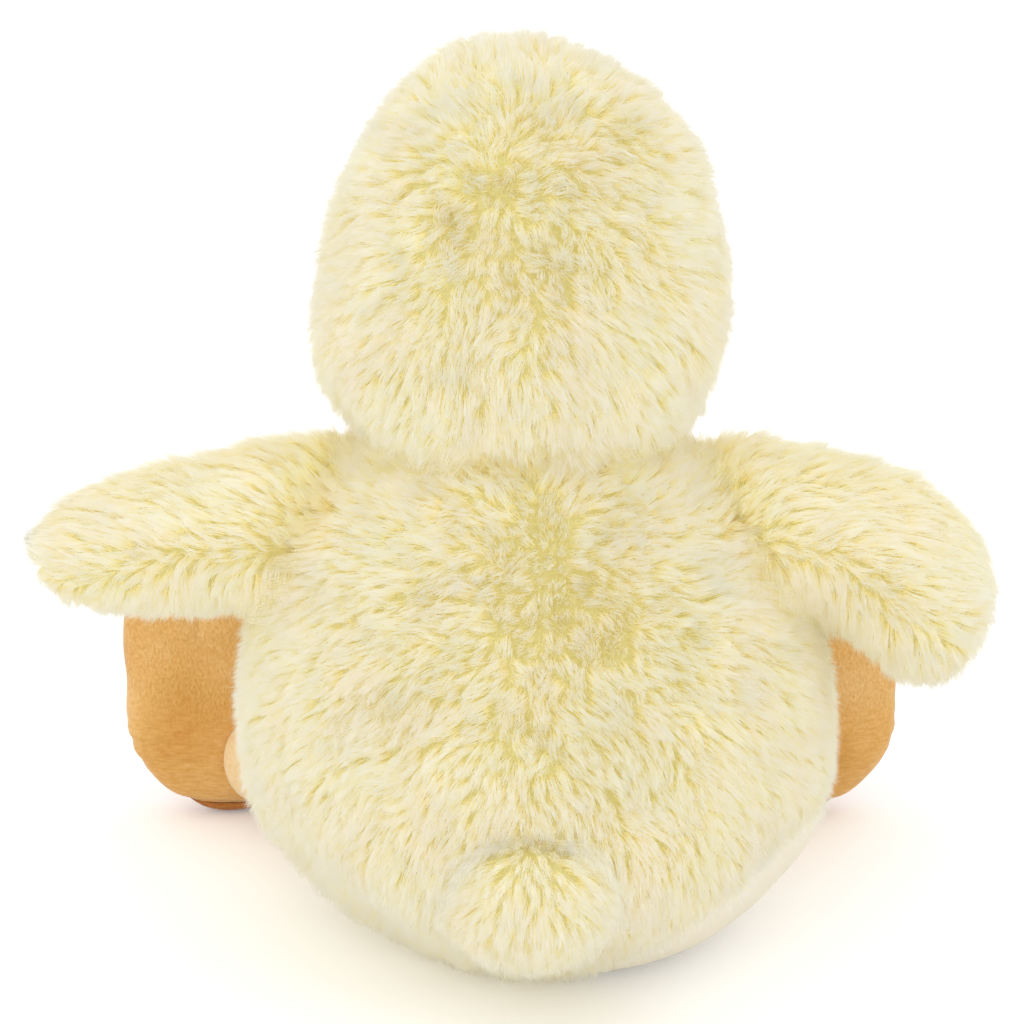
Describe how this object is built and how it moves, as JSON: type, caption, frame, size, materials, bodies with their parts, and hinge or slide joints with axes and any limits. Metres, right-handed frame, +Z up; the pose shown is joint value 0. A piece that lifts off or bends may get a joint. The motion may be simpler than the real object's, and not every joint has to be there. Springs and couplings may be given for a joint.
{
  "type": "plush duckling toy",
  "caption": "Sitting stuffed duckling in long-pile fur fabric, with orange feet and bill, a jointed neck, wings, legs and tail, and a pellet-weighted flat base.",
  "frame": {"origin": "on the floor under the middle of the seated base", "axes": "+Z up, -Y the way the face looks, +X the toy's own left"},
  "size_m": [0.3001, 0.2249, 0.293],
  "materials": {
    "fur": "matte",
    "base_cloth": "matte",
    "orange_velboa": "matte",
    "sole_velboa": "matte",
    "peach_velboa": "matte",
    "stuffing": "matte",
    "bag_cloth": "matte",
    "eye_plastic": "gloss",
    "washer_plastic": "matte"
  },
  "bodies": {
    "torso": {"body_back_left": "fur", "body_back_right": "fur", "body_belly": "fur", "base_panel": "base_cloth", "body_stuffing": "stuffing", "pellet_bag": "bag_cloth"},
    "neck": {"neck_stuffing": "stuffing"},
    "head": {"head_cover_left": "fur", "head_cover_right": "fur", "head_stuffing": "stuffing", "bill_upper": "orange_velboa", "bill_lower": "orange_velboa", "eye_left": "eye_plastic", "eye_washer_left": "washer_plastic", "eye_right": "eye_plastic", "eye_washer_right": "washer_plastic"},
    "wing_left": {"wing_left_top": "fur", "wing_left_under": "fur", "wing_left_stuffing": "stuffing"},
    "wing_right": {"wing_right_top": "fur", "wing_right_under": "fur", "wing_right_stuffing": "stuffing"},
    "leg_left": {"foot_left_upper": "orange_velboa", "foot_left_sole": "sole_velboa", "leg_left_cover": "peach_velboa", "leg_left_stuffing": "stuffing"},
    "leg_right": {"foot_right_upper": "orange_velboa", "foot_right_sole": "sole_velboa", "leg_right_cover": "peach_velboa", "leg_right_stuffing": "stuffing"},
    "tail": {"tail_cover": "fur", "tail_stuffing": "stuffing"}
  },
  "joints": [
    {"name": "neck_turn", "type": "hinge", "parent": "torso", "child": "neck", "pos_m": [0, -0.002, 0.168], "axis": [0, -0.1392, 0.9903], "range_deg": [-25, 25], "stiffness_Nm_per_rad": 0.5},
    {"name": "head_nod", "type": "hinge", "parent": "neck", "child": "head", "pos_m": [0, -0.002, 0.168], "axis": [1, 0, 0], "range_deg": [-8, 8], "stiffness_Nm_per_rad": 0.5},
    {"name": "wing_left_flap", "type": "hinge", "parent": "torso", "child": "wing_left", "pos_m": [0.059, 0.002, 0.152], "axis": [0, -1, 0], "range_deg": [-6, 35], "stiffness_Nm_per_rad": 0.5},
    {"name": "wing_right_flap", "type": "hinge", "parent": "torso", "child": "wing_right", "pos_m": [-0.059, 0.002, 0.152], "axis": [0, 1, 0], "range_deg": [-6, 35], "stiffness_Nm_per_rad": 0.5},
    {"name": "leg_left_lift", "type": "hinge", "parent": "torso", "child": "leg_left", "pos_m": [0.064, -0.042, 0.027], "axis": [-1, 0, 0], "range_deg": [0, 18], "stiffness_Nm_per_rad": 0.4},
    {"name": "leg_right_lift", "type": "hinge", "parent": "torso", "child": "leg_right", "pos_m": [-0.064, -0.042, 0.027], "axis": [-1, 0, 0], "range_deg": [0, 18], "stiffness_Nm_per_rad": 0.4},
    {"name": "tail_lift", "type": "hinge", "parent": "torso", "child": "tail", "pos_m": [-0.004, 0.07, 0.044], "axis": [1, 0, 0], "range_deg": [-10, 10], "stiffness_Nm_per_rad": 0.2}
  ]
}
